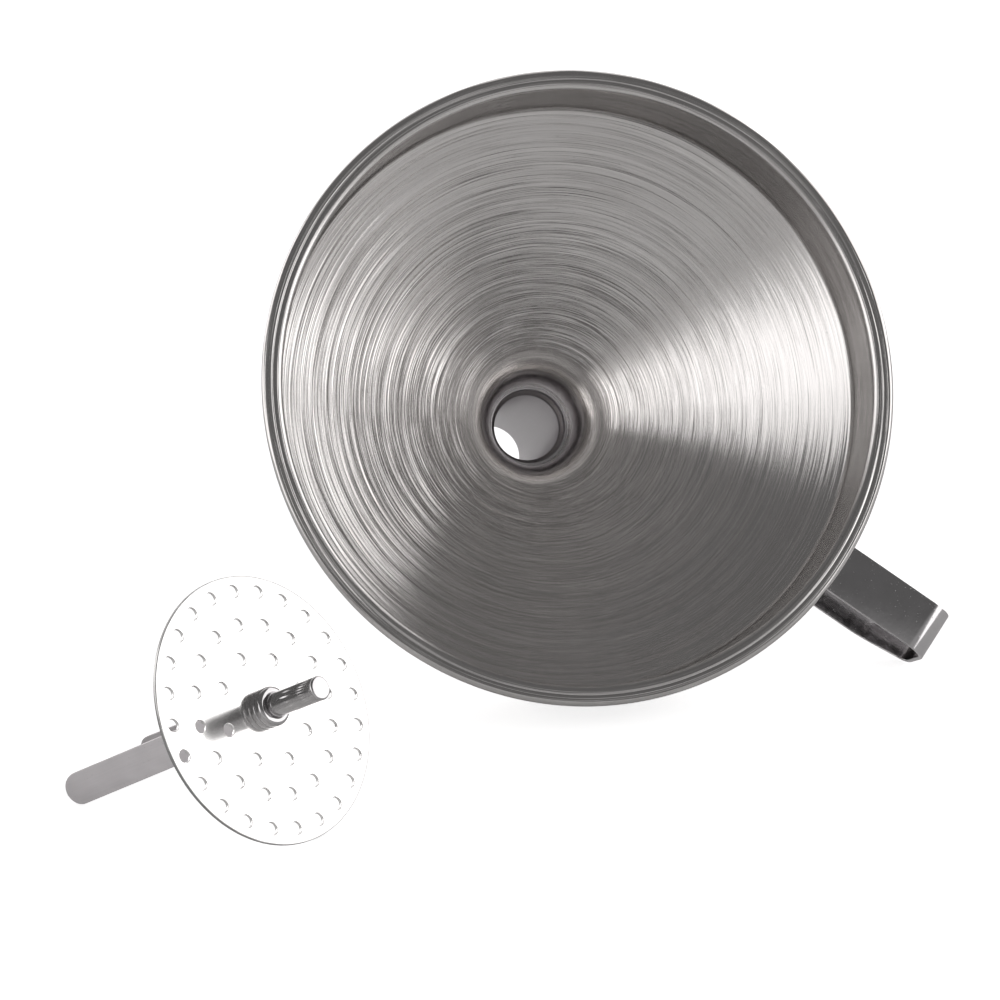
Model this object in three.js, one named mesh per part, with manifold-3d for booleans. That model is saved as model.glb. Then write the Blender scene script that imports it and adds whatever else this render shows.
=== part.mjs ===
// Narrow-spout kitchen funnel in stainless sheet, with a strap handle and a lift-out strainer.
// Millimetres, +Z up. Both lie on the plane z = 0: the funnel on the lower edge of its wall, its
// spout tip and its handle, the strainer on the edge of its disc and on the tips of its two legs.
// The origin is the middle of the footprint, on that plane.
import * as THREE from 'three';
import { mergeVertices } from 'three/addons/utils/BufferGeometryUtils.js';
import Module from 'manifold-3d';

const manifold = await Module();
manifold.setup();

// Clearance that touching pieces keep
const GAP = 0.3;

// Bowl: hemmed rim, upright wall, cone, rounded throat and a neck that grips the spout
const RIM_RADIUS = 70;
const RIM_LAND = 4.6;           // from the inside of the wall to the edge of the rim
const WALL_DEPTH = 18.5;
const BOWL_SHEET = 0.8;
const HEM_BEND = 0.75;          // mid-sheet radius of the folded edge
const HEM_RETURN = 2.4;         // how far the fold comes back under the flange
const SHOULDER_BEND = 0.9;
const WALL_BEND = 2.5;          // mid-sheet, between the wall and the cone
const THROAT_BEND = 18;
const THROAT_DEPTH = 67.4;      // where the throat becomes the neck
const NECK_SEAT = 2.8;          // straight neck above the seat of the spout
const NECK_GRIP = 4.6;          // narrow part below the seat

// Spout: straight tube with a flared lip
const SPOUT_TIP_DEPTH = 126;
const BORE_RADIUS = 7.65;
const SPOUT_WALL = 0.7;
const LIP_FLARE = 0.85;
const LIP_HEIGHT = 1.5;
const FLARE_HEIGHT = 1.2;

// Handle: one bent strip
const STRAP_WIDTH = 11.4;
const STRAP_SHEET = 1.0;
const STRAP_REACH = 27.2;       // beyond the edge of the rim
const STRAP_TOP_DEPTH = 5;
const LOOP_TOP_BEND = 4.5;
const LOOP_END_RISE = 6;        // from the foot of the loop to the lower corner of its end
const LOOP_END_BEND = 4;
const LOOP_KNEE_REACH = 15;     // beyond the edge of the rim
const LOOP_FOOT_DROP = 8.5;     // below the end of the wall
const LOOP_KNEE_BEND = 12;
const TOP_TAB_MARGIN = 1.5;     // from the end of the tab on the wall to the end of the wall
const FOOT_TAB = 10;            // length of the tab on the cone
const TAB_BEND = 1.6;

// Strainer disc
const DISC_RADIUS = 28.3;
const DISC_SHEET = 0.8;
const HOLE_RADIUS = 1.38;
const HOLE_TURN = -2.5;         // degrees that the whole pattern is turned
const HOLE_RINGS = [              // inset is from the edge of the disc, turn in steps of the ring
  { inset: 3.2, count: 24, turn: 0 },
  { inset: 10.2, count: 16, turn: 0.5 },
  { inset: 17, count: 8, turn: 0 },
];

// Strainer stem, its collar and its riveted tail
const STEM_RADIUS = 2.55;
const STEM_TOP = 18.1;          // above the middle of the disc
const STEM_CHAMFER = 0.5;
const TAIL_RADIUS = 1.2;
const TAIL_HEAD_RADIUS = 2.2;
const TAIL_HEAD_HEIGHT = 1.0;
const COLLAR_WALL = 1.35;
const COLLAR_BASE = 1.2;
const COLLAR_BEAD = 1.9;
const COLLAR_GROOVE = 0.45;

// Strainer legs: one strip bent to a U, its legs sprung outward
const LEG_WIDTH = 6.9;
const LEG_SHEET = 0.8;
const LEG_FROM_AXIS = 6.2;      // mid-sheet, at the bend
const LEG_REACH = 44.2;         // tip, below the middle of the disc
const LEG_SPLAY = 7.6;          // degrees, each side of the line midway between the legs
const LEG_LEAN = 10.4;          // degrees that this line is bent off the axis, to the front
const BRIDGE_BEND = 1.2;
const BRIDGE_DROP = 2.6;        // from the flat of the bridge to the top of a leg

// Where the strainer lies, seen from above: the middle of its disc, and its turn in degrees
const STRAINER_X = -9.3;        // from the side of the rim
const STRAINER_Y = -62.9;       // from the middle of the rim
const STRAINER_TURN = 41.5;

const BOWL_FACETS = 60;
const TUBE_FACETS = 36;
const ROD_FACETS = 24;
const DISC_FACETS = 72;
const HOLE_FACETS = 12;
const BEND_STEPS = 3;
const WIDE_BEND_STEPS = 6;

const steel = (name, color, roughness) => {
  const material = new THREE.MeshStandardMaterial({ color, roughness, metalness: 1 });
  material.name = name;
  return material;
};

const brushedSteel = () => steel('brushed_steel', 0xa8a5a2, 0.38);
const polishedSteel = () => steel('polished_steel', 0xe6e4e2, 0.08);
const satinSteel = () => steel('satin_steel', 0xa5a0a2, 0.3);

// ---- outlines -------------------------------------------------------------------------------

// A path through corners [x, y, bend radius, steps], with an arc where a radius is given
function bentPath(corners) {
  const points = corners.map(([x, y]) => new THREE.Vector2(x, y));
  const path = [points[0]];
  for (let i = 1; i < points.length - 1; i += 1) {
    const back = points[i - 1].clone().sub(points[i]).normalize();
    const ahead = points[i + 1].clone().sub(points[i]).normalize();
    const halfAngle = Math.acos(THREE.MathUtils.clamp(back.dot(ahead), -1, 1)) / 2;
    const radius = corners[i][2] ?? 0;
    const steps = radius > 0 ? corners[i][3] ?? BEND_STEPS : 0;
    if (steps === 0) path.push(points[i]);
    const toCentre = back.clone().add(ahead).normalize();
    const centre = points[i].clone().addScaledVector(toCentre, radius / Math.sin(halfAngle));
    const start = points[i].clone().addScaledVector(back, radius / Math.tan(halfAngle)).sub(centre);
    const sweep = (Math.PI - 2 * halfAngle) * Math.sign(ahead.cross(back));
    for (let k = 0; k <= steps && steps > 0; k += 1) {
      const turned = start.clone().rotateAround(new THREE.Vector2(), (sweep * k) / steps);
      path.push(turned.add(centre));
    }
  }
  path.push(points.at(-1));
  return path.filter((point, i) => i === 0 || point.distanceTo(path[i - 1]) > 1e-4);
}

// The closed outline of a sheet of the given thickness that follows a path at mid-sheet
function sheetOutline(path, thickness) {
  const side = (sign) => path.map((point, i) => {
    const before = path[Math.max(i - 1, 0)];
    const after = path[Math.min(i + 1, path.length - 1)];
    const arriving = point.clone().sub(before).normalize();
    const leaving = after.clone().sub(point).normalize();
    const along = arriving.clone().add(leaving).normalize();
    const stretch = 1 / Math.max(along.dot(arriving), along.dot(leaving));
    const normal = new THREE.Vector2(-along.y, along.x);
    return point.clone().addScaledVector(normal, (sign * stretch * thickness) / 2);
  });
  return [...side(1), ...side(-1).reverse()];
}

// ---- solids ---------------------------------------------------------------------------------

// A ring turned about Z from a closed outline of (radius, height) points
function turnedRing(outline, facets) {
  const points = outline.map((point) => point.clone());
  if (THREE.ShapeUtils.isClockWise(points)) points.reverse();
  return new THREE.LatheGeometry([...points, points[0]], facets).rotateX(Math.PI / 2);
}

// A solid turned about Z from points that rise from the axis back to the axis
function turnedSolid(points, facets) {
  const outline = points.map(([x, y]) => new THREE.Vector2(x, y));
  return new THREE.LatheGeometry(outline, facets).rotateX(Math.PI / 2);
}

// A strip of the given width, bent to an outline in X and Z, centred on Y = 0
function bentStrip(outline, width) {
  const geometry = new THREE.ExtrudeGeometry(new THREE.Shape(outline), {
    depth: width,
    bevelEnabled: false,
  });
  return geometry.translate(0, 0, -width / 2).rotateX(Math.PI / 2);
}

function toManifold(geometry) {
  const bare = geometry.clone();
  bare.deleteAttribute('normal');
  bare.deleteAttribute('uv');
  const merged = mergeVertices(bare, 1e-5);
  return new manifold.Manifold(new manifold.Mesh({
    numProp: 3,
    vertProperties: new Float32Array(merged.attributes.position.array),
    triVerts: new Uint32Array(merged.index.array),
  }));
}

function cut(body, tool) {
  const mesh = toManifold(body).subtract(toManifold(tool)).getMesh();
  const geometry = new THREE.BufferGeometry();
  geometry.setAttribute('position', new THREE.BufferAttribute(mesh.vertProperties, 3));
  geometry.setIndex(new THREE.BufferAttribute(mesh.triVerts, 1));
  geometry.computeVertexNormals();
  return geometry;
}

function named(name, geometry, material) {
  const mesh = new THREE.Mesh(geometry, material);
  mesh.name = name;
  return mesh;
}

// ---- funnel, upright: the rim plane is Z = 0 and the spout points down --------------------------

const neckRadius = BORE_RADIUS + SPOUT_WALL + LIP_FLARE + GAP;     // inside, above the seat
const gripRadius = BORE_RADIUS + SPOUT_WALL + GAP;                 // inside, below the seat
const seatDepth = THROAT_DEPTH + NECK_SEAT;
const wallRadius = RIM_RADIUS - RIM_LAND;                          // inside
const wallMid = wallRadius + BOWL_SHEET / 2;
const neckMid = neckRadius + BOWL_SHEET / 2;

// Depth at which the cone, drawn on, would meet the neck: the throat's arc ends at THROAT_DEPTH
function coneEndDepth() {
  let depth = THROAT_DEPTH;
  for (let i = 0; i < 40; i += 1) {
    const halfAngle = Math.atan2(wallMid - neckMid, depth - WALL_DEPTH);
    depth = THROAT_DEPTH - THROAT_BEND * Math.tan(halfAngle / 2);
  }
  return depth;
}

const coneEnd = coneEndDepth();
const coneAngle = Math.atan2(wallMid - neckMid, coneEnd - WALL_DEPTH);  // from the axis

function bowlOutline() {
  const edge = RIM_RADIUS - BOWL_SHEET / 2;
  const flange = -BOWL_SHEET / 2;
  const fold = flange - 2 * HEM_BEND;
  const gripMid = gripRadius + BOWL_SHEET / 2;
  const path = bentPath([
    [edge - HEM_RETURN, fold],
    [edge, fold, HEM_BEND],
    [edge, flange, HEM_BEND],
    [wallMid, flange, SHOULDER_BEND],
    [wallMid, -WALL_DEPTH, WALL_BEND],
    [neckMid, -coneEnd, THROAT_BEND, WIDE_BEND_STEPS],
    [neckMid, -seatDepth],
    [gripMid, -seatDepth - FLARE_HEIGHT],
    [gripMid, -seatDepth - FLARE_HEIGHT - NECK_GRIP],
  ]);
  return sheetOutline(path, BOWL_SHEET);
}

function bowl() {
  return named('bowl', turnedRing(bowlOutline(), BOWL_FACETS), brushedSteel());
}

function spoutTube() {
  const tubeMid = BORE_RADIUS + SPOUT_WALL / 2;
  const flareTop = -seatDepth + 1.5 * GAP;
  const path = bentPath([
    [tubeMid, -SPOUT_TIP_DEPTH],
    [tubeMid, flareTop - FLARE_HEIGHT, 0.6],
    [tubeMid + LIP_FLARE, flareTop, 0.6],
    [tubeMid + LIP_FLARE, flareTop + LIP_HEIGHT],
  ]);
  const outline = sheetOutline(path, SPOUT_WALL);
  return named('spout_tube', turnedRing(outline, TUBE_FACETS), satinSteel());
}

// The handle's strip in the plane of radius and height, from the wall round to the cone
function strapOutline() {
  const half = STRAP_SHEET / 2;
  const stand = wallRadius + BOWL_SHEET + GAP + half;
  const top = -STRAP_TOP_DEPTH - half;
  const end = RIM_RADIUS + STRAP_REACH - half;
  const foot = -WALL_DEPTH - LOOP_FOOT_DROP;
  const cone = new THREE.Vector2(-Math.sin(coneAngle), -Math.cos(coneAngle));
  const lift = BOWL_SHEET / 2 + GAP + half;
  const coneStart = new THREE.Vector2(wallMid, -WALL_DEPTH)
    .add(new THREE.Vector2(-cone.y, cone.x).multiplyScalar(lift));
  const heel = coneStart.clone()
    .addScaledVector(cone, (coneStart.y - foot) / -cone.y);
  const toe = heel.clone().addScaledVector(cone, FOOT_TAB);
  const path = bentPath([
    [stand, TOP_TAB_MARGIN - WALL_DEPTH],
    [stand, top, TAB_BEND],
    [end, top, LOOP_TOP_BEND, WIDE_BEND_STEPS],
    [end, foot + LOOP_END_RISE, LOOP_END_BEND, WIDE_BEND_STEPS],
    [RIM_RADIUS + LOOP_KNEE_REACH, foot, LOOP_KNEE_BEND],
    [heel.x, foot, TAB_BEND],
    [toe.x, toe.y],
  ]);
  return sheetOutline(path, STRAP_SHEET);
}

// ---- how the funnel lies ------------------------------------------------------------------------

// Tilt of the axis at which the bowl's outline and the corner of the spout's tip touch one plane
const tipRadius = BORE_RADIUS + SPOUT_WALL;
const funnelTilt = Math.max(
  ...bowlOutline().map(({ x, y }) => Math.atan2(x - tipRadius, SPOUT_TIP_DEPTH + y)),
);
const tipDrop = tipRadius * Math.cos(funnelTilt) + SPOUT_TIP_DEPTH * Math.sin(funnelTilt);

// Turn of the handle, from straight down, at which its lower edge touches the same plane
function handleTurn() {
  const outline = strapOutline();
  const drop = (turn) => Math.max(...outline.map(({ x, y }) => {
    const down = x * Math.cos(turn) + (STRAP_WIDTH / 2) * Math.sin(turn);
    return down * Math.cos(funnelTilt) - y * Math.sin(funnelTilt);
  }));
  let low = 0;
  let high = Math.PI / 2;
  for (let i = 0; i < 40; i += 1) {
    const middle = (low + high) / 2;
    if (drop(middle) > tipDrop) low = middle;
    else high = middle;
  }
  return high;
}

function handle() {
  const geometry = bentStrip(strapOutline(), STRAP_WIDTH);
  const mesh = named('handle_strap', geometry, polishedSteel());
  mesh.rotation.z = handleTurn() - Math.PI / 2;
  return mesh;
}

// ---- strainer, upright: the middle of the disc is the origin and the legs point down ------------

const tailHole = TAIL_RADIUS + GAP;
const bridgeMid = -DISC_SHEET / 2 - GAP - LEG_SHEET / 2;
const hingeHeight = bridgeMid - BRIDGE_DROP;

// Points round a circle, the first of them straight down
function circle(radius, facets, x = 0, y = 0) {
  return Array.from({ length: facets }, (_, i) => {
    const angle = (2 * Math.PI * i) / facets;
    return new THREE.Vector2(x + radius * Math.sin(angle), y - radius * Math.cos(angle));
  });
}

function disc() {
  const shape = new THREE.Shape(circle(DISC_RADIUS, DISC_FACETS));
  shape.holes.push(new THREE.Path(circle(tailHole, ROD_FACETS)));
  for (const { inset, count, turn } of HOLE_RINGS) {
    const radius = DISC_RADIUS - inset;
    for (let i = 0; i < count; i += 1) {
      const angle = THREE.MathUtils.degToRad(HOLE_TURN + (360 * (i + turn)) / count);
      const x = radius * Math.sin(angle);
      const y = radius * Math.cos(angle);
      shape.holes.push(new THREE.Path(circle(HOLE_RADIUS, HOLE_FACETS, x, y)));
    }
  }
  const geometry = new THREE.ExtrudeGeometry(shape, { depth: DISC_SHEET, bevelEnabled: false });
  return named('strainer_disc', geometry.translate(0, 0, -DISC_SHEET / 2), polishedSteel());
}

function stem() {
  const shoulder = DISC_SHEET / 2 + GAP;
  const headTop = bridgeMid - LEG_SHEET / 2 - GAP;
  const headBottom = headTop - TAIL_HEAD_HEIGHT;
  return named('stem', turnedSolid([
    [0, headBottom],
    [TAIL_HEAD_RADIUS - 0.6, headBottom],
    [TAIL_HEAD_RADIUS, headBottom + 0.5],
    [TAIL_HEAD_RADIUS, headTop],
    [TAIL_RADIUS, headTop],
    [TAIL_RADIUS, shoulder],
    [STEM_RADIUS, shoulder],
    [STEM_RADIUS, STEM_TOP - STEM_CHAMFER],
    [STEM_RADIUS - STEM_CHAMFER, STEM_TOP],
    [0, STEM_TOP],
  ], ROD_FACETS), polishedSteel());
}

// A ring round the foot of the stem: a flat base, a groove and a rounded bead
function collar() {
  const bore = STEM_RADIUS + GAP;
  const radius = bore + COLLAR_WALL;
  const bottom = DISC_SHEET / 2 + GAP;
  const groove = bottom + COLLAR_BASE;
  const top = groove + COLLAR_BEAD;
  const outline = bentPath([
    [bore, bottom],
    [radius, bottom, 0.35],
    [radius, groove, 0.35],
    [radius - COLLAR_GROOVE, groove + 0.1, 0.05],
    [radius, groove + 0.2, 0.35],
    [radius, top, 0.8],
    [bore, top],
  ]);
  return named('stem_collar', turnedRing(outline, ROD_FACETS), polishedSteel());
}

function legBridge() {
  const end = LEG_FROM_AXIS;
  const bottom = hingeHeight + GAP / 2;
  const path = bentPath([
    [-end, bottom],
    [-end, bridgeMid, BRIDGE_BEND],
    [end, bridgeMid, BRIDGE_BEND],
    [end, bottom],
  ]);
  const strip = bentStrip(sheetOutline(path, LEG_SHEET), LEG_WIDTH);
  const drill = new THREE.CylinderGeometry(tailHole, tailHole, 4 * LEG_SHEET, ROD_FACETS)
    .rotateX(Math.PI / 2)
    .translate(0, 0, bridgeMid);
  return named('leg_bridge', cut(strip, drill), satinSteel());
}

// A leg hangs from its bend as a flat strip with a round end, sprung away from the axis
function springLeg(name, side) {
  const splay = THREE.MathUtils.degToRad(LEG_SPLAY - side * LEG_LEAN);
  const half = LEG_WIDTH / 2;
  const endCentre = (hingeHeight + LEG_REACH - half) / Math.cos(splay);
  const outline = new THREE.Shape()
    .moveTo(-half, -GAP / 2)
    .lineTo(-half, -endCentre)
    .absarc(0, -endCentre, half, Math.PI, 2 * Math.PI)
    .lineTo(half, -GAP / 2);
  const geometry = new THREE.ExtrudeGeometry(outline, { depth: LEG_SHEET, bevelEnabled: false })
    .translate(0, 0, -LEG_SHEET / 2)
    .rotateX(Math.PI / 2)
    .rotateZ(Math.PI / 2);
  const mesh = named(name, geometry, satinSteel());
  mesh.position.set(side * LEG_FROM_AXIS, 0, hingeHeight);
  mesh.rotation.y = -side * splay;
  return mesh;
}

// Tilt of the strainer's axis at which the disc's edge and the round leg ends touch one plane
const legHalf = LEG_WIDTH / 2;
const legAlong = LEG_REACH - legHalf - DISC_SHEET / 2;
const strainerTilt = Math.acos(legHalf / Math.hypot(DISC_RADIUS, legAlong))
  - Math.atan2(legAlong, DISC_RADIUS);
const discDrop = DISC_RADIUS * Math.cos(strainerTilt) + (DISC_SHEET / 2) * Math.sin(strainerTilt);

// ---- the two, laid on the plane -----------------------------------------------------------------

// Tips a group over so that its Z axis leans from upright to the given height above the plane
function tipped(pieces, tilt, turn, x, y, z) {
  const leaning = new THREE.Group();
  leaning.rotation.x = Math.PI / 2 - tilt;
  leaning.add(...pieces);
  const placed = new THREE.Group();
  placed.rotation.z = THREE.MathUtils.degToRad(turn);
  placed.position.set(x, y, z);
  placed.add(leaning);
  return placed;
}

const funnel = tipped([bowl(), spoutTube(), handle()], funnelTilt, 0, 0, 0, tipDrop);

const strainer = tipped(
  [
    disc(),
    stem(),
    collar(),
    legBridge(),
    springLeg('spring_leg_front', -1),
    springLeg('spring_leg_back', 1),
  ],
  strainerTilt,
  STRAINER_TURN,
  STRAINER_X - RIM_RADIUS,
  STRAINER_Y,
  discDrop,
);

const part = new THREE.Group();
part.add(funnel, strainer);
const box = new THREE.Box3().setFromObject(part, true);
const middle = box.getCenter(new THREE.Vector3());
part.position.set(-middle.x, -middle.y, -box.min.z);

export default part;
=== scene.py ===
"""A narrow-spout stainless funnel with a strap handle, and the perforated strainer that lies beside it.

The funnel's pieces are built upright about Z, with the rim plane at zero and the spout pointing
down, and the strainer's about Z with the middle of its disc at zero. Each is then laid on the table.
Sizes are in millimetres until a mesh is made.
"""

import math

import bmesh
import bpy
from bpy.props import FloatProperty, FloatVectorProperty, IntProperty, PointerProperty
from mathutils import Matrix, Vector


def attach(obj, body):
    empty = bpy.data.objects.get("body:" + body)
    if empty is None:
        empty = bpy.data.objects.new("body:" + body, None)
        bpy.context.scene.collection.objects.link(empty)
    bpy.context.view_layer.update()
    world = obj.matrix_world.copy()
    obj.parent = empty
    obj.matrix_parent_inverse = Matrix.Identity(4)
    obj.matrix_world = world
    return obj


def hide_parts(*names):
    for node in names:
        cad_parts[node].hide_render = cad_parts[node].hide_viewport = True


bl_info = {
    "name": "Spouted Funnel and Strainer",
    "version": (1, 0, 0),
    "blender": (4, 5, 0),
    "location": "View3D > Sidebar > Funnel",
    "description": "Builds a spun steel funnel with a strap handle and its lift-out strainer",
    "category": "Add Mesh",
}

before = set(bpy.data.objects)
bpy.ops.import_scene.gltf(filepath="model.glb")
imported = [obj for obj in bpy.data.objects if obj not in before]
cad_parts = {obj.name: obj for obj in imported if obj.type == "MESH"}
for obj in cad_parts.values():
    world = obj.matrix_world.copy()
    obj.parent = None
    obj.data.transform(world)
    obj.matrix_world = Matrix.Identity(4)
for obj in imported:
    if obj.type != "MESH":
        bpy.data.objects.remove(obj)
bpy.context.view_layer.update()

MM = 0.001

# How the two pieces lie on the table, in degrees and millimetres
FUNNEL_TILT = 28.1493
FUNNEL_AT = (19.7926, -15.0883, 66.825)
HANDLE_TURN = 51.5194
STRAINER_TILT = 31.0304
STRAINER_TURN = 41.5
STRAINER_AT = (-59.5074, -77.9883, 24.4759)

# Bowl profile
BOWL_SHEET = 0.8
WALL_RADIUS = 65.4
WALL_DEPTH = 18.5
CONE_END = 58.0911
SEAT_DEPTH = 70.2
NECK_RADIUS = 9.5
GRIP_RADIUS = 8.65
GRIP_LENGTH = 4.6
FLARE_HEIGHT = 1.2
HEM_BEND = 0.745
HEM_DEPTH = 1.5
HEM_RETURN = 2.4
SHOULDER_BEND = 1.1
WALL_BEND = 2.5
THROAT_BEND = 18.0

# Spout
SPOUT_WALL = 0.7
LIP_FLARE = 1.05
LIP_HEIGHT = 1.5

# Handle, as depths below the rim plane and lengths along the strip
STRAP_SHEET = 1.0
STRAP_TOP_MID = 5.5
TOP_TAB = 11.5
LOOP_END_DEPTH = 21
LOOP_KNEE_RADIUS = 85
LOOP_FOOT_DEPTH = 27
FOOT_TAB = 10
TAB_BEND = 1.6
TOUCH_GAP = 0.02

# Strainer
DISC_SHEET = 0.8
HOLE_RINGS = ((25.1, 24, 0.0), (18.1, 16, 0.5), (11.3, 8, 0.0))  # radius, holes, offset in steps
HOLE_TURN = -2.5
TAIL_HOLE_RADIUS = 1.4
STEM_RADIUS = 2.55
TAIL_RADIUS = 1.2
TAIL_HEAD_RADIUS = 2.2
COLLAR_RADIUS = 4.2
LEG_SHEET = 0.8
BRIDGE_BEND = 1.2
STEM_TOP = 18.1
BRIDGE_MID = -1.1
HINGE_HEIGHT = -3.7
LEG_FROM_AXIS = 6.2
LEG_REACH = 44.2
LEG_SPLAY = 7.6
LEG_LEAN = 10.4


def laid(tilt, turn, at):
    """The matrix that tips an upright piece over and puts it on the table."""
    turned = Matrix.Rotation(math.radians(turn), 4, "Z")
    tipped = Matrix.Rotation(math.pi / 2 - math.radians(tilt), 4, "X")
    return Matrix.Translation(Vector(at) * MM) @ turned @ tipped


FUNNEL_PLACE = laid(FUNNEL_TILT, 0, FUNNEL_AT)
STRAINER_PLACE = laid(STRAINER_TILT, STRAINER_TURN, STRAINER_AT)


# ---- sizes and colours -----------------------------------------------------------------------


class FunnelSizes(bpy.types.PropertyGroup):
    """Sizes a maker would change, all in millimetres."""

    rim_radius: FloatProperty(
        name="Rim Radius", description="Outer radius of the rolled rim", default=70.0, min=40.0
    )
    spout_end: FloatProperty(
        name="Spout End", description="Depth of the spout's end below the rim", default=126.0
    )
    spout_bore: FloatProperty(
        name="Spout Bore", description="Inner radius of the spout", default=7.65
    )
    strap_width: FloatProperty(
        name="Strap Width", description="Width of the handle's strip", default=11.4
    )
    strap_reach: FloatProperty(
        name="Strap Reach", description="How far the handle stands from the axis", default=97.2
    )
    disc_radius: FloatProperty(
        name="Disc Radius", description="Radius of the perforated disc", default=28.3
    )
    hole_radius: FloatProperty(
        name="Hole Radius", description="Radius of each hole in the disc", default=1.38
    )
    leg_width: FloatProperty(
        name="Leg Width", description="Width of the strainer's spring strip", default=6.9
    )
    facets: IntProperty(
        name="Facets", description="Steps round the bowl", default=288, min=48, max=720
    )


class FunnelColours(bpy.types.PropertyGroup):
    """Colours of the finishes and of the table."""

    spun: FloatVectorProperty(
        name="Spun Steel", description="Bowl", subtype="COLOR", default=(0.66, 0.645, 0.635)
    )
    satin: FloatVectorProperty(
        name="Satin Steel", description="Spout and legs", subtype="COLOR", default=(0.62, 0.60, 0.61)
    )
    mirror: FloatVectorProperty(
        name="Polished Steel", description="Handle and stem", subtype="COLOR",
        default=(0.62, 0.61, 0.615),
    )
    disc: FloatVectorProperty(
        name="Disc Steel", description="Perforated disc", subtype="COLOR",
        default=(0.93, 0.925, 0.915),
    )
    table: FloatVectorProperty(
        name="Table", description="Plain pale floor", subtype="COLOR", default=(0.86, 0.86, 0.86)
    )


# ---- node building ----------------------------------------------------------------------------


class Value:
    """A socket that adds the Math nodes of the expression it stands in."""

    def __init__(self, nodes, socket):
        self.nodes = nodes
        self.socket = socket

    def math(self, operation, *others):
        values = {i: value for i, value in enumerate((self, *others))}
        return self.nodes.add("ShaderNodeMath", {"operation": operation}, values)

    def reflected(self, operation, other):
        return self.nodes.add(
            "ShaderNodeMath", {"operation": operation}, {0: other, 1: self}
        )

    def __add__(self, other):
        return self.math("ADD", other)

    def __radd__(self, other):
        return self.reflected("ADD", other)

    def __sub__(self, other):
        return self.math("SUBTRACT", other)

    def __rsub__(self, other):
        return self.reflected("SUBTRACT", other)

    def __mul__(self, other):
        return self.math("MULTIPLY", other)

    def __rmul__(self, other):
        return self.reflected("MULTIPLY", other)

    def __truediv__(self, other):
        return self.math("DIVIDE", other)


class Nodes:
    """The node tree of one material or of the world."""

    def __init__(self, tree):
        self.tree = tree
        tree.nodes.clear()

    def add(self, kind, settings=None, values=None, output=0):
        """A node of any kind: its settings first, then the values or links of its sockets."""
        node = self.tree.nodes.new(kind)
        for name, setting in (settings or {}).items():
            setattr(node, name, setting)
        for name, value in (values or {}).items():
            socket = node.inputs[name]
            if isinstance(value, Value):
                self.tree.links.new(value.socket, socket)
            else:
                socket.default_value = value
        return Value(self, node.outputs[output])

    def finish(self, kind, shader):
        node = self.tree.nodes.new(kind)
        self.tree.links.new(shader.socket, node.inputs["Surface"])

    def axes(self, vector):
        node = self.tree.nodes.new("ShaderNodeSeparateXYZ")
        self.tree.links.new(vector.socket, node.inputs[0])
        return [Value(self, output) for output in node.outputs]

    def joined(self, x, y, z):
        return self.add("ShaderNodeCombineXYZ", None, {0: x, 1: y, 2: z})

    def between(self, value, low, high, from_value=0.0, to_value=1.0):
        """Goes smoothly from one value to another while the input goes from low to high."""
        return self.add(
            "ShaderNodeMapRange",
            {"interpolation_type": "SMOOTHSTEP", "clamp": True},
            {"Value": value, "From Min": low, "From Max": high,
             "To Min": from_value, "To Max": to_value},
        )

    def noise(self, vector, scale, detail=2.0, roughness=0.5):
        return self.add(
            "ShaderNodeTexNoise",
            None,
            {"Vector": vector, "Scale": scale, "Detail": detail, "Roughness": roughness},
        )

    def vector(self, operation, *others, **named):
        values = dict(enumerate(others))
        values.update(named)
        return self.add("ShaderNodeVectorMath", {"operation": operation}, values)

    def upright(self):
        """Where a point is on its piece as built upright, before it is laid on the table."""
        return self.add("ShaderNodeAttribute", {"attribute_name": "upright"}, output=1)


def rgba(colour):
    return (*colour, 1.0)


def metal(name, colour, build):
    """A metal whose colour, roughness and fine height come from build(nodes, base colour)."""
    material = bpy.data.materials.new(name)
    material.use_nodes = True
    nodes = Nodes(material.node_tree)
    facts = build(nodes, rgba(colour))
    bump = {"Strength": 1.0, "Distance": facts["depth"], "Height": facts["height"]}
    if "normal" in facts:
        bump["Normal"] = facts["normal"]
    normal = nodes.add("ShaderNodeBump", None, bump)
    values = {
        "Base Color": facts["colour"],
        "Roughness": facts["roughness"],
        "Metallic": 1.0,
        "Normal": normal,
    }
    nodes.finish(
        "ShaderNodeOutputMaterial", nodes.add("ShaderNodeBsdfPrincipled", None, values)
    )
    return material


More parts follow.
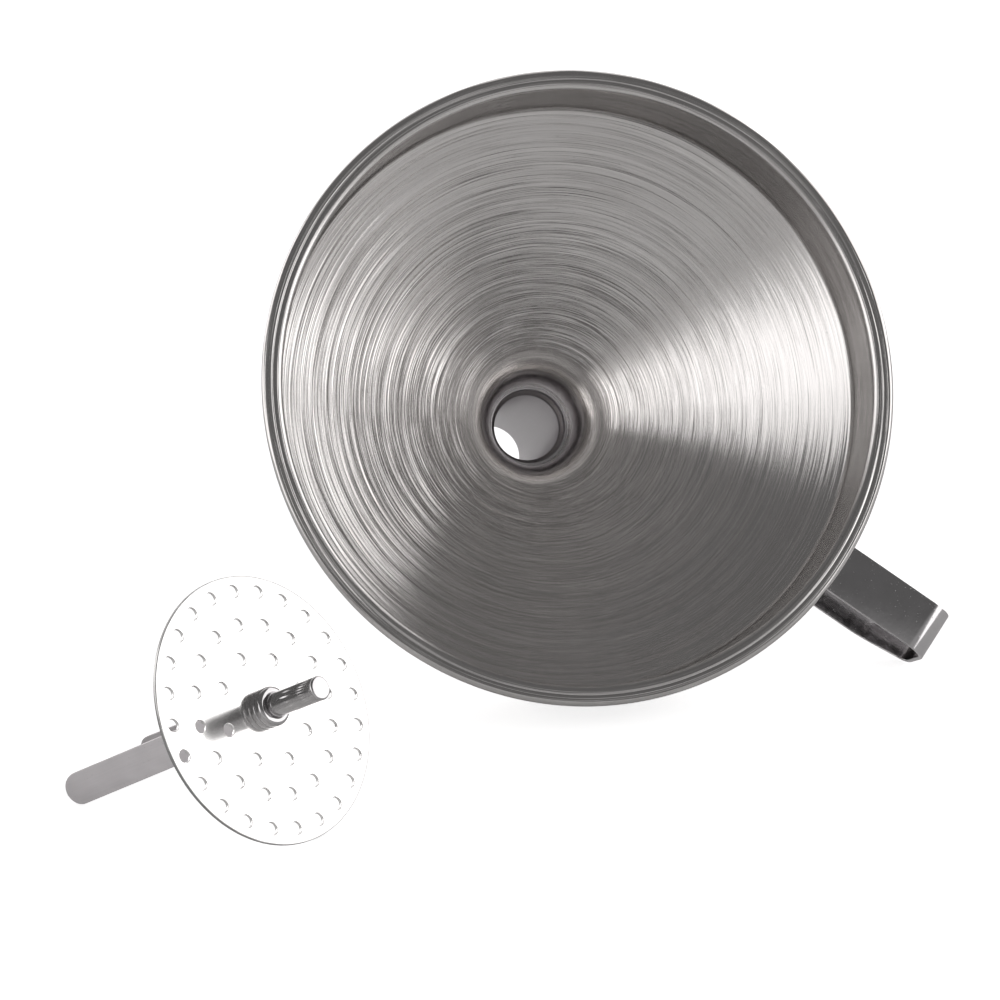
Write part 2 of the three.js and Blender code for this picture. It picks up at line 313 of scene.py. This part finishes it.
def spun_finish(nodes, base):
    """Lathe-spun sheet: rings about the axis that spread a reflection along the radius, and a painted
    highlight that lightens the throat.
    """
    place = nodes.upright()
    x, y, z = nodes.axes(place)
    radius = (x * x + y * y).math("SQRT")
    run = radius + z
    east, north = x / radius, y / radius

    def rings(scale, along, detail, roughness, seed):
        vector = nodes.joined(run * scale + seed, east * along, north * along)
        return nodes.noise(vector, 1.0, detail, roughness) - 0.5

    grain = rings(5200.0, 1.0, 3.0, 0.75, 0.0)
    fine = rings(2600.0, 0.7, 2.0, 0.7, 40.0)
    broad = rings(900.0, 0.8, 3.0, 0.6, 80.0)
    bands = rings(240.0, 0.5, 2.0, 0.5, 120.0)
    streak = rings(5000.0, 9.0, 1.0, 0.5, 160.0)
    cloud = nodes.noise(place, 30.0, 3.0, 0.6) - 0.5
    scratch = nodes.between(streak, 0.14, 0.24)
    stain = nodes.between(nodes.noise(place, 900.0, 1.0, 0.5), 0.76, 0.8)
    # throat is 1 near the axis and fades out by 22 mm: there it makes the finish smoother, and in the
    # colour it is a painted highlight
    throat = nodes.between(radius, 0.0115, 0.022, 1.0, 0.0)
    shade = 1.04 + broad * 0.30 + fine * 0.42 + bands * 0.16 + grain * 0.34 + cloud * 0.08
    # scratch and stain are marks on the steel; the throat term is a painted highlight that lightens the
    # colour round the throat
    shade = shade + scratch * 0.12 - stain * 0.18 + throat * 0.30
    tone = nodes.joined(shade * base[0], shade * base[1], shade * base[2])

    # The normal is tipped to and fro across the rings, and never along them
    facing = nodes.add("ShaderNodeNewGeometry", output=1)
    outward = nodes.vector(
        "ADD",
        nodes.vector("SCALE", tuple(FUNNEL_PLACE.col[0][:3]), Scale=east),
        nodes.vector("SCALE", tuple(FUNNEL_PLACE.col[1][:3]), Scale=north),
    )
    around = nodes.vector("CROSS_PRODUCT", tuple(FUNNEL_PLACE.col[2][:3]), outward)
    across = nodes.vector("CROSS_PRODUCT", around, facing)
    tip = (grain * 1.7 + fine * 0.5) * (1.0 - throat * 0.75)
    normal = nodes.vector(
        "NORMALIZE", nodes.vector("ADD", facing, nodes.vector("SCALE", across, Scale=tip))
    )
    return {
        "colour": tone,
        "roughness": 0.17 + broad * 0.10 - throat * 0.03 + cloud * 0.05,
        "height": broad * 0.25 + bands * 0.5 + scratch * 0.2 - stain * 0.3,
        "depth": 0.00001,
        "normal": normal,
    }


def satin_finish(nodes, base):
    """Rolled strip with a soft grain along its length and small dents."""
    place = nodes.upright()
    x, y, z = nodes.axes(place)
    grain = nodes.noise(nodes.joined(x * 2600.0, y * 2600.0, z * 90.0), 1.0, 3.0, 0.6)
    cloud = nodes.noise(place, 160.0, 3.0, 0.6)
    dents = nodes.noise(place, 480.0, 1.0, 0.4)
    pits = nodes.between(nodes.noise(place, 1700.0, 1.0, 0.5), 0.7, 0.78)
    shade = 0.86 + grain * 0.12 + cloud * 0.14 - pits * 0.12
    tone = nodes.joined(shade * base[0], shade * base[1], shade * base[2])
    return {
        "colour": tone,
        "roughness": 0.26 + cloud * 0.12 + grain * 0.06,
        "height": grain * 0.35 + dents * 0.9 - pits * 0.35,
        "depth": 0.00003,
    }


def mirror_finish(nodes, base):
    """Polished strip and rod: nearly a mirror, with a faint orange-peel and fine specks."""
    place = nodes.upright()
    peel = nodes.noise(place, 620.0, 2.0, 0.5)
    cloud = nodes.noise(place, 210.0, 3.0, 0.65)
    pits = nodes.between(nodes.noise(place, 2600.0, 1.0, 0.5), 0.7, 0.76)
    shade = 0.88 + cloud * 0.18 - pits * 0.14
    tone = nodes.joined(shade * base[0], shade * base[1], shade * base[2])
    return {
        "colour": tone,
        "roughness": 0.07 + cloud * 0.08 + pits * 0.25,
        "height": peel * 0.5 + cloud * 0.5 - pits * 0.3,
        "depth": 0.00002,
    }


def disc_finish(nodes, base):
    """Bright buffed sheet: very light wiping marks, a faint warm cast and a painted shade along its
    rim.
    """
    place = nodes.upright()
    x, y, z = nodes.axes(place)
    wipe = nodes.noise(nodes.joined(x * 900.0, y * 60.0, z), 1.0, 2.0, 0.5)
    cloud = nodes.noise(place, 90.0, 3.0, 0.6)
    specks = nodes.between(nodes.noise(place, 1500.0, 1.0, 0.5), 0.74, 0.8)
    # edge is 1 on the outer 0.3 mm of the disc, where it darkens the colour: a painted shade along the
    # rim
    edge = nodes.between((x * x + y * y).math("SQRT"), 0.0279, 0.0282)
    shade = 0.955 + cloud * 0.06 + wipe * 0.02 - specks * 0.10 - edge * 0.55
    tone = nodes.joined(shade * base[0], shade * base[1], shade * base[2])
    return {
        "colour": tone,
        "roughness": 0.11 + cloud * 0.07 + specks * 0.12,
        "height": cloud * 0.6 + wipe * 0.2,
        "depth": 0.000015,
    }


FINISHES = {
    "spun_steel": ("spun", spun_finish),
    "satin_steel": ("satin", satin_finish),
    "polished_steel": ("mirror", mirror_finish),
    "buffed_disc": ("disc", disc_finish),
}


def finish_named(context, name):
    """The named finish, made the first time it is asked for."""
    found = bpy.data.materials.get(name)
    if found is not None:
        return found
    colour, build = FINISHES[name]
    return metal(name, getattr(context.scene.funnel_colours, colour), build)


# ---- outlines and meshes ----------------------------------------------------------------------


def bent_path(corners, steps=8):
    """A path through corners (x, y) or (x, y, bend radius), with an arc at each bend."""
    points = [Vector(corner[:2]) for corner in corners]
    path = [points[0]]
    for i in range(1, len(points) - 1):
        radius = corners[i][2] if len(corners[i]) > 2 else 0
        back = (points[i - 1] - points[i]).normalized()
        ahead = (points[i + 1] - points[i]).normalized()
        half = math.acos(max(-1.0, min(1.0, back.dot(ahead)))) / 2
        if radius <= 0:
            path.append(points[i])
            continue
        centre = points[i] + (back + ahead).normalized() * (radius / math.sin(half))
        start = points[i] + back * (radius / math.tan(half)) - centre
        cross = ahead.x * back.y - ahead.y * back.x
        sweep = math.copysign(math.pi - 2 * half, cross)
        for k in range(steps + 1):
            turn = sweep * k / steps
            path.append(centre + Matrix.Rotation(turn, 2) @ start)
    path.append(points[-1])
    kept = [path[0]]
    for point in path[1:]:
        if (point - kept[-1]).length > 1e-4:
            kept.append(point)
    return kept


def sheet_outline(path, thickness):
    """The closed outline of a sheet that follows a path at mid-sheet."""
    sides = []
    for sign in (1, -1):
        side = []
        for i, point in enumerate(path):
            arriving = (point - path[max(i - 1, 0)])
            leaving = (path[min(i + 1, len(path) - 1)] - point)
            arriving = arriving.normalized() if arriving.length else leaving.normalized()
            leaving = leaving.normalized() if leaving.length else arriving
            along = (arriving + leaving).normalized()
            normal = Vector((-along.y, along.x))
            stretch = 1 / max(along.dot(arriving), 0.2)
            side.append(point + normal * (sign * stretch * thickness / 2))
        sides.append(side)
    return sides[0] + sides[1][::-1]


def round_ends(outline, count, thickness):
    """Rounds the two cut ends of a sheet's outline that has count points on each side."""
    first, last = outline[:count], outline[count:]
    ends = []
    for a, b, inward in ((first[-1], last[0], first[-2]), (last[-1], first[0], last[-2])):
        centre = (a + b) / 2
        ahead = (a - inward).normalized()
        across = (a - b) / 2
        bulge = min(0.5 * thickness, across.length)
        ends.append([
            centre + across * math.cos(t) + ahead * (bulge * 0.55 * math.sin(t))
            for t in (math.pi * k / 6 for k in range(1, 6))
        ])
    return first + ends[0] + last + ends[1]


def turned(name, outline, facets, closed=True):
    """A mesh turned about Z from (radius, height) points in millimetres."""
    area = sum(
        outline[i - 1].x * outline[i].y - outline[i].x * outline[i - 1].y
        for i in range(len(outline))
    )
    points = list(outline) if area > 0 else list(outline)[::-1]
    bm = bmesh.new()
    rings = []
    for k in range(facets):
        angle = 2 * math.pi * k / facets - math.pi / 2
        rings.append([
            bm.verts.new((p.x * math.cos(angle) * MM, p.x * math.sin(angle) * MM, p.y * MM))
            for p in points
        ])
    spans = len(points) if closed else len(points) - 1
    for k in range(facets):
        here, there = rings[k], rings[(k + 1) % facets]
        for i in range(spans):
            j = (i + 1) % len(points)
            bm.faces.new((here[i], there[i], there[j], here[j]))
    bmesh.ops.remove_doubles(bm, verts=bm.verts, dist=1e-7)
    return meshed(name, bm, 32)


def meshed(name, bm, crease):
    """Closes a bmesh into an object, smooth but for edges bent more than crease degrees."""
    bmesh.ops.recalc_face_normals(bm, faces=bm.faces)
    for face in bm.faces:
        face.smooth = True
    for edge in bm.edges:
        if len(edge.link_faces) == 2:
            edge.smooth = edge.calc_face_angle(0.0) < math.radians(crease)
    mesh = bpy.data.meshes.new(name)
    bm.to_mesh(mesh)
    bm.free()
    made = bpy.data.objects.new(name, mesh)
    bpy.context.scene.collection.objects.link(made)
    return made


def bent_strip(name, outline, width, edge=0.14):
    """A strip of the given width, bent to an outline in X and Z, with its long edges eased."""
    bm = bmesh.new()
    near = [bm.verts.new((p.x * MM, -width / 2 * MM, p.y * MM)) for p in outline]
    far = [bm.verts.new((p.x * MM, width / 2 * MM, p.y * MM)) for p in outline]
    count = len(outline)
    bm.faces.new(near)
    bm.faces.new(far[::-1])
    for i in range(count):
        j = (i + 1) % count
        bm.faces.new((near[i], far[i], far[j], near[j]))
    bmesh.ops.recalc_face_normals(bm, faces=bm.faces)
    rims = [e for e in bm.edges if e.calc_face_angle(0.0) > math.radians(50)]
    bmesh.ops.bevel(bm, geom=rims, offset=edge * MM, segments=3, profile=0.6, affect="EDGES")
    return meshed(name, bm, 40)


def cut_sheet(name, loops, thickness, edge=0.12):
    """A flat sheet from closed loops, the first its outline and the rest its holes."""
    curve = bpy.data.curves.new(name, "CURVE")
    curve.dimensions = "2D"
    curve.fill_mode = "BOTH"
    for loop in loops:
        spline = curve.splines.new("POLY")
        spline.points.add(len(loop) - 1)
        for point, (x, y) in zip(spline.points, loop):
            point.co = (x * MM, y * MM, 0, 1)
        spline.use_cyclic_u = True
    curve.extrude = (thickness / 2 - edge) * MM
    curve.bevel_depth = edge * MM
    curve.offset = -edge * MM
    curve.bevel_resolution = 2
    source = bpy.data.objects.new(name + "_outline", curve)
    bpy.context.scene.collection.objects.link(source)
    bpy.context.view_layer.update()
    graph = bpy.context.evaluated_depsgraph_get()
    mesh = bpy.data.meshes.new_from_object(source.evaluated_get(graph))
    bpy.data.objects.remove(source)
    bm = bmesh.new()
    bm.from_mesh(mesh)
    bpy.data.meshes.remove(mesh)
    bmesh.ops.remove_doubles(bm, verts=bm.verts, dist=2e-6)
    made = meshed(name, bm, 30)
    # The two broad faces are shaded flat, so that the eased edges don't bend their reflections
    for face in made.data.polygons:
        face.use_smooth = abs(face.normal.z) < 0.999
    return made


def circle(radius, count, x=0.0, y=0.0):
    return [
        (x + radius * math.sin(2 * math.pi * k / count), y - radius * math.cos(2 * math.pi * k / count))
        for k in range(count)
    ]


def put(context, made, place, finish, body, nodes):
    """Lays a piece in its place, gives it its finish, ties it to its body and hides the CAD nodes it
    stands for.
    """
    upright = made.data.attributes.new("upright", "FLOAT_VECTOR", "POINT")
    upright.data.foreach_set("vector", [c for v in made.data.vertices for c in v.co])
    made.data.transform(place)
    made.data.materials.clear()
    made.data.materials.append(finish_named(context, finish))
    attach(made, body)
    if nodes:
        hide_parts(*nodes)
    return made


# ---- pieces -----------------------------------------------------------------------------------


class FUNNEL_OT_bowl(bpy.types.Operator):
    """Spun bowl with its rolled rim, wall, cone, rounded throat and neck"""

    bl_idname = "funnel.bowl"
    bl_label = "Bowl"

    def execute(self, context):
        sizes = context.scene.funnel_sizes
        edge = sizes.rim_radius - BOWL_SHEET / 2
        flange = -BOWL_SHEET / 2
        fold = flange - HEM_DEPTH
        wall = WALL_RADIUS + BOWL_SHEET / 2
        neck = NECK_RADIUS + BOWL_SHEET / 2
        grip = GRIP_RADIUS + BOWL_SHEET / 2
        path = bent_path([
            (edge - HEM_RETURN, fold),
            (edge, fold, HEM_BEND),
            (edge, flange, HEM_BEND),
            (edge - 1.7, flange),
            (edge - 1.95, flange - 0.09, 0.15),
            (edge - 2.2, flange),
            (wall, flange, SHOULDER_BEND),
            (wall, -WALL_DEPTH, WALL_BEND),
            (neck, -CONE_END, THROAT_BEND),
            (neck, -SEAT_DEPTH),
            (grip, -SEAT_DEPTH - FLARE_HEIGHT),
            (grip, -SEAT_DEPTH - FLARE_HEIGHT - GRIP_LENGTH),
        ], 10)
        outline = round_ends(sheet_outline(path, BOWL_SHEET), len(path), BOWL_SHEET)
        made = turned("spun_bowl", outline, sizes.facets)
        put(context, made, FUNNEL_PLACE, "spun_steel", "funnel", ["bowl"])
        return {"FINISHED"}


class FUNNEL_OT_spout(bpy.types.Operator):
    """Straight spout with its flared lip and the weld that joins it to the neck"""

    bl_idname = "funnel.spout"
    bl_label = "Spout"

    def execute(self, context):
        sizes = context.scene.funnel_sizes
        middle = sizes.spout_bore + SPOUT_WALL / 2
        top = -SEAT_DEPTH + 0.45
        path = bent_path([
            (middle, -sizes.spout_end + 0.2),
            (middle, top - FLARE_HEIGHT, 0.8),
            (middle + LIP_FLARE, top, 0.8),
            (middle + LIP_FLARE, top + LIP_HEIGHT),
        ], 8)
        outline = round_ends(sheet_outline(path, SPOUT_WALL), len(path), SPOUT_WALL)
        tube = turned("spout_pipe", outline, 128)
        put(context, tube, FUNNEL_PLACE, "satin_steel", "funnel", ["spout_tube"])
        bead = [
            Vector((9.42 + 0.22 * math.cos(t), top + 1.55 + 0.2 * math.sin(t)))
            for t in (2 * math.pi * k / 12 for k in range(12))
        ]
        weld = turned("neck_weld", bead, 160)
        for vertex in weld.data.vertices:
            x, y, z = vertex.co
            turn = math.atan2(y, x)
            ripple = 1 + 0.004 * math.sin(turn * 41) + 0.003 * math.sin(turn * 67 + 1)
            vertex.co = (x * ripple, y * ripple, z + 0.00004 * math.sin(turn * 53))
        put(context, weld, FUNNEL_PLACE, "polished_steel", "funnel", [])
        return {"FINISHED"}


class FUNNEL_OT_handle(bpy.types.Operator):
    """Strap handle bent into a loop, with the spot welds of its upper tab"""

    bl_idname = "funnel.handle"
    bl_label = "Handle"

    def execute(self, context):
        sizes = context.scene.funnel_sizes
        half = STRAP_SHEET / 2
        wall = WALL_RADIUS + BOWL_SHEET / 2
        neck = NECK_RADIUS + BOWL_SHEET / 2
        cone_angle = math.atan2(wall - neck, CONE_END - WALL_DEPTH)
        cone = Vector((-math.sin(cone_angle), -math.cos(cone_angle)))
        stand = WALL_RADIUS + BOWL_SHEET + half + TOUCH_GAP
        lift = BOWL_SHEET / 2 + half + TOUCH_GAP
        start = Vector((wall, -WALL_DEPTH)) + Vector((-cone.y, cone.x)) * lift
        heel = start + cone * ((start.y + LOOP_FOOT_DEPTH) / -cone.y)
        toe = heel + cone * FOOT_TAB
        end = sizes.strap_reach - half
        path = bent_path([
            (stand, -STRAP_TOP_MID - TOP_TAB),
            (stand, -STRAP_TOP_MID, TAB_BEND),
            (end, -STRAP_TOP_MID, 4.5),
            (end, -LOOP_END_DEPTH, 4.0),
            (LOOP_KNEE_RADIUS, -LOOP_FOOT_DEPTH, 12.0),
            (heel.x, -LOOP_FOOT_DEPTH, TAB_BEND),
            (toe.x, toe.y),
        ], 12)
        outline = sheet_outline(path, STRAP_SHEET)
        made = bent_strip("strap_loop", outline, sizes.strap_width, 0.16)
        turn = Matrix.Rotation(math.radians(HANDLE_TURN) - math.pi / 2, 4, "Z")
        place = FUNNEL_PLACE @ turn
        put(context, made, place, "polished_steel", "funnel", ["handle_strap"])
        self.welds(context, place, stand, half)
        return {"FINISHED"}

    @staticmethod
    def welds(context, place, stand, half):
        """Shallow round spots where the upper tab is welded to the wall."""
        profile = [
            Vector((0.0, 0.10)), Vector((0.7, 0.09)), Vector((1.15, 0.14)),
            Vector((1.4, 0.12)), Vector((1.55, 0.0)), Vector((1.5, -0.1)), Vector((0.0, -0.1)),
        ]
        places = ((-3.0, -9.5), (3.0, -9.5), (-3.0, -13.8), (3.0, -13.8))
        for number, (across, down) in enumerate(places):
            spot = turned(f"spot_weld_{number + 1}", profile, 32)
            facing = Matrix.Rotation(math.pi / 2, 4, "Y")
            at = Matrix.Translation(Vector((stand + half, across, down)) * MM)
            put(context, spot, place @ at @ facing, "satin_steel", "funnel", [])


class FUNNEL_OT_disc(bpy.types.Operator):
    """Perforated disc with three rings of punched holes"""

    bl_idname = "funnel.disc"
    bl_label = "Strainer Disc"

    def execute(self, context):
        sizes = context.scene.funnel_sizes
        loops = [circle(sizes.disc_radius, 180), circle(TAIL_HOLE_RADIUS, 32)]
        for ring, count, offset in HOLE_RINGS:
            for k in range(count):
                angle = math.radians(HOLE_TURN + 360 * (k + offset) / count)
                x, y = ring * math.sin(angle), ring * math.cos(angle)
                loops.append(circle(sizes.hole_radius, 36, x, y))
        made = cut_sheet("perforated_disc", loops, DISC_SHEET)
        put(context, made, STRAINER_PLACE, "buffed_disc", "strainer", ["strainer_disc"])
        return {"FINISHED"}


class FUNNEL_OT_stem(bpy.types.Operator):
    """Stem with its riveted tail, and the grooved collar round its foot"""

    bl_idname = "funnel.stem"
    bl_label = "Stem and Collar"

    def execute(self, context):
        shoulder = 0.42
        under = BRIDGE_MID - LEG_SHEET / 2
        stem = bent_path([
            (0.0, STEM_TOP),
            (STEM_RADIUS, STEM_TOP, 0.5),
            (STEM_RADIUS, shoulder, 0.05),
            (TAIL_RADIUS, shoulder),
            (TAIL_RADIUS, under - TOUCH_GAP),
            (TAIL_HEAD_RADIUS, under - TOUCH_GAP, 0.15),
            (TAIL_HEAD_RADIUS, under - 1.2, 0.7),
            (0.0, under - 1.3),
        ], 6)
        rod = turned("lift_stem", stem, 72, closed=False)
        put(context, rod, STRAINER_PLACE, "polished_steel", "strainer", ["stem"])
        collar = bent_path([
            (2.56, shoulder),
            (COLLAR_RADIUS, shoulder, 0.3),
            (COLLAR_RADIUS, 1.75, 0.35),
            (3.72, 1.92, 0.08),
            (COLLAR_RADIUS, 2.1, 0.35),
            (COLLAR_RADIUS, 3.8, 0.95),
            (2.9, 3.9, 0.2),
            (2.56, 3.7),
        ], 6)
        ring = turned("stepped_collar", collar, 96)
        put(context, ring, STRAINER_PLACE, "polished_steel", "strainer", ["stem_collar"])
        return {"FINISHED"}


class FUNNEL_OT_legs(bpy.types.Operator):
    """Spring strip bent to a U: the bridge under the disc and the two round-ended legs"""

    bl_idname = "funnel.legs"
    bl_label = "Spring Legs"

    def execute(self, context):
        sizes = context.scene.funnel_sizes
        out = LEG_FROM_AXIS
        path = bent_path([
            (-out, HINGE_HEIGHT + 0.05),
            (-out, BRIDGE_MID, BRIDGE_BEND),
            (out, BRIDGE_MID, BRIDGE_BEND),
            (out, HINGE_HEIGHT + 0.05),
        ], 10)
        bridge = bent_strip("leg_strip_bridge", sheet_outline(path, LEG_SHEET), sizes.leg_width)
        put(context, bridge, STRAINER_PLACE, "satin_steel", "strainer", ["leg_bridge"])
        for name, side, body, node in (
            ("front_spring_leg", -1, "front_leg", "spring_leg_front"),
            ("back_spring_leg", 1, "back_leg", "spring_leg_back"),
        ):
            self.leg(context, name, side, body, node, sizes.leg_width / 2)
        return {"FINISHED"}

    @staticmethod
    def leg(context, name, side, body, node, half):
        splay = math.radians(LEG_SPLAY - side * LEG_LEAN)
        length = (HINGE_HEIGHT + LEG_REACH - half) / math.cos(splay)
        tip = [
            (half * math.cos(t), -length - half * math.sin(t))
            for t in (math.pi * k / 28 for k in range(29))
        ]
        rows = [(half, -length * k / 12) for k in range(12)]
        loop = rows + tip + [(-x, y) for x, y in rows[::-1]]
        made = cut_sheet(name, [loop], LEG_SHEET, 0.13)
        upright = Matrix.Rotation(math.pi / 2, 4, "Z") @ Matrix.Rotation(math.pi / 2, 4, "X")
        hinge = Matrix.Translation(Vector((side * LEG_FROM_AXIS, 0, HINGE_HEIGHT)) * MM)
        lean = Matrix.Rotation(-side * splay, 4, "Y")
        made.data.transform(upright)
        put(context, made, STRAINER_PLACE @ hinge @ lean, "satin_steel", body, [node])


class FUNNEL_OT_stage(bpy.types.Operator):
    """Pale table, soft studio light and camera"""

    bl_idname = "funnel.stage"
    bl_label = "Stage"

    def execute(self, context):
        self.table(context)
        self.light(context)
        self.camera(context)
        context.scene.view_settings.view_transform = "Standard"
        context.scene.view_settings.look = "None"
        return {"FINISHED"}

    @staticmethod
    def table(context):
        bm = bmesh.new()
        bmesh.ops.create_grid(bm, x_segments=2, y_segments=2, size=3.0)
        floor = meshed("pale_table", bm, 30)
        floor.location.z = -0.00005
        material = bpy.data.materials.new("pale_table")
        material.use_nodes = True
        nodes = Nodes(material.node_tree)
        colour = rgba(context.scene.funnel_colours.table)
        matt = nodes.add("ShaderNodeBsdfDiffuse", None, {"Color": colour})
        glow = nodes.add("ShaderNodeEmission", None, {"Color": rgba((1, 1, 1)), "Strength": 0.72})
        lit = nodes.add("ShaderNodeAddShader", None, {0: matt, 1: glow})
        seen = nodes.add("ShaderNodeLightPath")
        both = nodes.add("ShaderNodeMixShader", None, {0: seen, 1: matt, 2: lit})
        nodes.finish("ShaderNodeOutputMaterial", both)
        floor.data.materials.append(material)

    @staticmethod
    def light(context):
        """A dim room with a tall soft panel on each side and a lighter wall behind."""
        world = bpy.data.worlds.new("studio")
        context.scene.world = world
        world.use_nodes = True
        nodes = Nodes(world.node_tree)
        x, y, z = nodes.axes(nodes.add("ShaderNodeTexCoord", None, None, output=0))
        right = nodes.between(x, 0.54, 0.64) * nodes.between(z, 0.66, 0.74, 1.0, 0.0)
        left = nodes.between(x, -0.62, -0.68) * nodes.between(z, 0.54, 0.60, 1.0, 0.0)
        over = nodes.between(z, 0.30, 0.50)
        back = nodes.between(y, 0.35, 0.6)
        level = 0.38 - over * 0.24 + right * 1.45 + left * 1.2 + back * 0.6
        colour = nodes.joined(level * 1.0, level * 0.985, level * 0.985)
        nodes.finish(
            "ShaderNodeOutputWorld",
            nodes.add("ShaderNodeBackground", None, {"Color": colour, "Strength": 1.0}),
        )

    @staticmethod
    def camera(context):
        data = bpy.data.cameras.new("viewpoint")
        data.sensor_width = 36.0
        data.lens = 147.6
        data.clip_start = 0.01
        camera = bpy.data.objects.new("viewpoint", data)
        camera.location = Vector((-154.06, -834.05, 376.8)) * MM
        camera.rotation_euler = (math.radians(90 - 21.93), 0, math.radians(-10.76))
        context.scene.collection.objects.link(camera)
        context.scene.camera = camera


class FUNNEL_PT_pieces(bpy.types.Panel):
    """Lists the pieces and their sizes"""

    bl_label = "Funnel and Strainer"
    bl_idname = "FUNNEL_PT_pieces"
    bl_space_type = "VIEW_3D"
    bl_region_type = "UI"
    bl_category = "Funnel"

    def draw(self, context):
        for operator in OPERATORS:
            self.layout.operator(operator.bl_idname)
        for group in (context.scene.funnel_sizes, context.scene.funnel_colours):
            for name in group.__annotations__:
                self.layout.prop(group, name)


OPERATORS = (
    FUNNEL_OT_bowl,
    FUNNEL_OT_spout,
    FUNNEL_OT_handle,
    FUNNEL_OT_disc,
    FUNNEL_OT_stem,
    FUNNEL_OT_legs,
    FUNNEL_OT_stage,
)
CLASSES = (FunnelSizes, FunnelColours, *OPERATORS, FUNNEL_PT_pieces)


def register():
    for cls in CLASSES:
        bpy.utils.register_class(cls)
    bpy.types.Scene.funnel_sizes = PointerProperty(type=FunnelSizes)
    bpy.types.Scene.funnel_colours = PointerProperty(type=FunnelColours)


def unregister():
    del bpy.types.Scene.funnel_colours
    del bpy.types.Scene.funnel_sizes
    for cls in reversed(CLASSES):
        bpy.utils.unregister_class(cls)


def main():
    register()
    for operator in OPERATORS:
        group, name = operator.bl_idname.split(".")
        getattr(getattr(bpy.ops, group), name)()
    bpy.context.view_layer.update()


if __name__ == "__main__":
    main()
